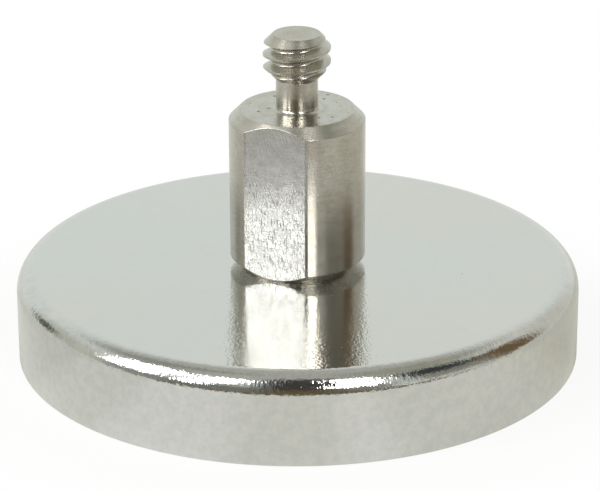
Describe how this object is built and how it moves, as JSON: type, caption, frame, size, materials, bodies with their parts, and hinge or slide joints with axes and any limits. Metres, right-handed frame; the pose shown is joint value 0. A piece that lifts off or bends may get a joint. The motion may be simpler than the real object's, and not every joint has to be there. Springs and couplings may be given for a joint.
{
  "type": "pot magnet",
  "caption": "Round nickel-plated pot magnet with a turned post, wrench flats and a threaded stud, for fixing a device to steel.",
  "frame": {"origin": "centre of the gripping face, on the axis, in the plane of the cup's rim", "axes": "+Z along the axis from the gripping face to the stud's end; the post's two wrench flats face +Y and -Y"},
  "size_m": [0.053, 0.053, 0.0312],
  "materials": {
    "nickel_plate": "nickel plating over pressed steel: mirror-like on top, finely mottled on the side",
    "ferrite": "sintered ferrite, ground flat and matt",
    "resin": "black casting resin with a soft gloss",
    "turned_stainless": "stainless steel as turned, with milled flats",
    "zinc_plate": "bright zinc plating"
  },
  "bodies": {
    "root": {"cup": "nickel_plate", "ring_magnet": "ferrite", "resin_ring": "resin", "post": "turned_stainless", "screw": "zinc_plate"}
  },
  "joints": []
}
